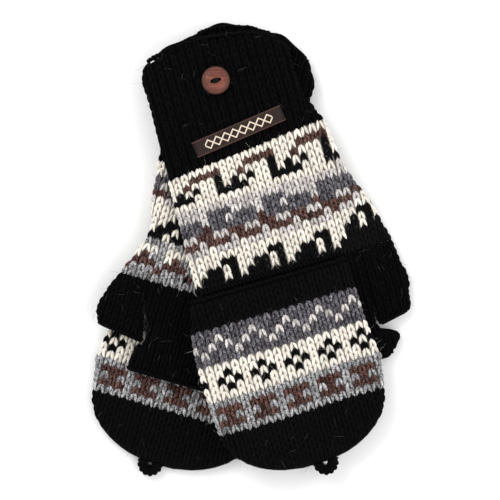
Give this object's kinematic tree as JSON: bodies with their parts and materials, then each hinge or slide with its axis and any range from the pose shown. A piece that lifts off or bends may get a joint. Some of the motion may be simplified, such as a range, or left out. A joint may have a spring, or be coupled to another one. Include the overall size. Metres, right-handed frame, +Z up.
{
  "type": "convertible flip-top mittens",
  "caption": "Pair of knitted convertible mittens with open fingers and thumb, and a hood that folds back and fastens by a yarn loop over a wooden cuff button.",
  "frame": {"origin": "centre of the footprint, on the surface that the pair lies on", "axes": "+Z up; +Y from the hoods towards the cuffs, along the pair; +X to the right seen from above with the cuffs at the top"},
  "size_m": [0.1976, 0.2877, 0.0384],
  "materials": {
    "black_wool": "matte",
    "patterned_wool": "matte",
    "hood_wool": "matte",
    "button_wood": "satin",
    "sewing_thread": "matte",
    "label_weave": "satin"
  },
  "bodies": {
    "lower_mitten": {"lower_cuff": "black_wool", "lower_cuff_edge": "black_wool", "lower_hand": "patterned_wool", "lower_finger_section": "black_wool", "lower_finger_edge": "black_wool", "lower_hood_seam": "black_wool", "lower_label": "label_weave", "lower_label_stitches": "sewing_thread"},
    "lower_hood_flap": {"lower_hood": "hood_wool", "lower_hood_edge": "black_wool"},
    "lower_yarn_loop": {"lower_loop": "black_wool"},
    "lower_thumb_stub": {"lower_thumb": "black_wool", "lower_thumb_edge": "black_wool"},
    "lower_cuff_button": {"lower_button": "button_wood", "lower_button_thread": "sewing_thread"},
    "upper_mitten": {"upper_cuff": "black_wool", "upper_cuff_edge": "black_wool", "upper_hand": "patterned_wool", "upper_finger_section": "black_wool", "upper_finger_edge": "black_wool", "upper_hood_seam": "black_wool", "upper_label": "label_weave", "upper_label_stitches": "sewing_thread"},
    "upper_hood_flap": {"upper_hood": "hood_wool", "upper_hood_edge": "black_wool"},
    "upper_yarn_loop": {"upper_loop": "black_wool"},
    "upper_thumb_stub": {"upper_thumb": "black_wool", "upper_thumb_edge": "black_wool"},
    "upper_cuff_button": {"upper_button": "button_wood", "upper_button_thread": "sewing_thread"}
  },
  "joints": [
    {"name": "upper_mitten_lift", "type": "slide", "parent": "lower_mitten", "child": "upper_mitten", "axis": [0, 0, 1], "range_m": [0, 0.12]},
    {"name": "lower_hood_flip", "type": "hinge", "parent": "lower_mitten", "child": "lower_hood_flap", "pos_m": [-0.0292, -0.0187, 0.0045], "axis": [0.9613, -0.2756, 0], "range_deg": [0, 170]},
    {"name": "lower_loop_swing", "type": "hinge", "parent": "lower_hood_flap", "child": "lower_yarn_loop", "pos_m": [-0.06339, -0.13612, 0.0045], "axis": [-0.9613, 0.2756, 0], "range_deg": [0, 75]},
    {"name": "lower_thumb_spread", "type": "hinge", "parent": "lower_mitten", "child": "lower_thumb_stub", "pos_m": [-0.08041, -0.01588, 0.005], "axis": [0, 0, -1], "range_deg": [0, 35]},
    {"name": "lower_button_turn", "type": "hinge", "parent": "lower_mitten", "child": "lower_cuff_button", "pos_m": [-0.00373, 0.10278, 0.0026], "axis": [0, 0, 1], "range_deg": [-25, 25]},
    {"name": "upper_hood_flip", "type": "hinge", "parent": "upper_mitten", "child": "upper_hood_flap", "pos_m": [0.0124, -0.0165, 0.03401], "axis": [-0.9613, -0.2756, 0], "range_deg": [0, 170]},
    {"name": "upper_loop_swing", "type": "hinge", "parent": "upper_hood_flap", "child": "upper_yarn_loop", "pos_m": [0.04659, -0.13392, 0.01431], "axis": [-0.9613, -0.2756, 0], "range_deg": [0, 75]},
    {"name": "upper_thumb_spread", "type": "hinge", "parent": "upper_mitten", "child": "upper_thumb_stub", "pos_m": [0.08749, 0.00462, 0.005], "axis": [0, 0, 1], "range_deg": [0, 35]},
    {"name": "upper_button_turn", "type": "hinge", "parent": "upper_mitten", "child": "upper_cuff_button", "pos_m": [-0.02172, 0.1025, 0.02328], "axis": [0, 0, 1], "range_deg": [-25, 25]}
  ]
}
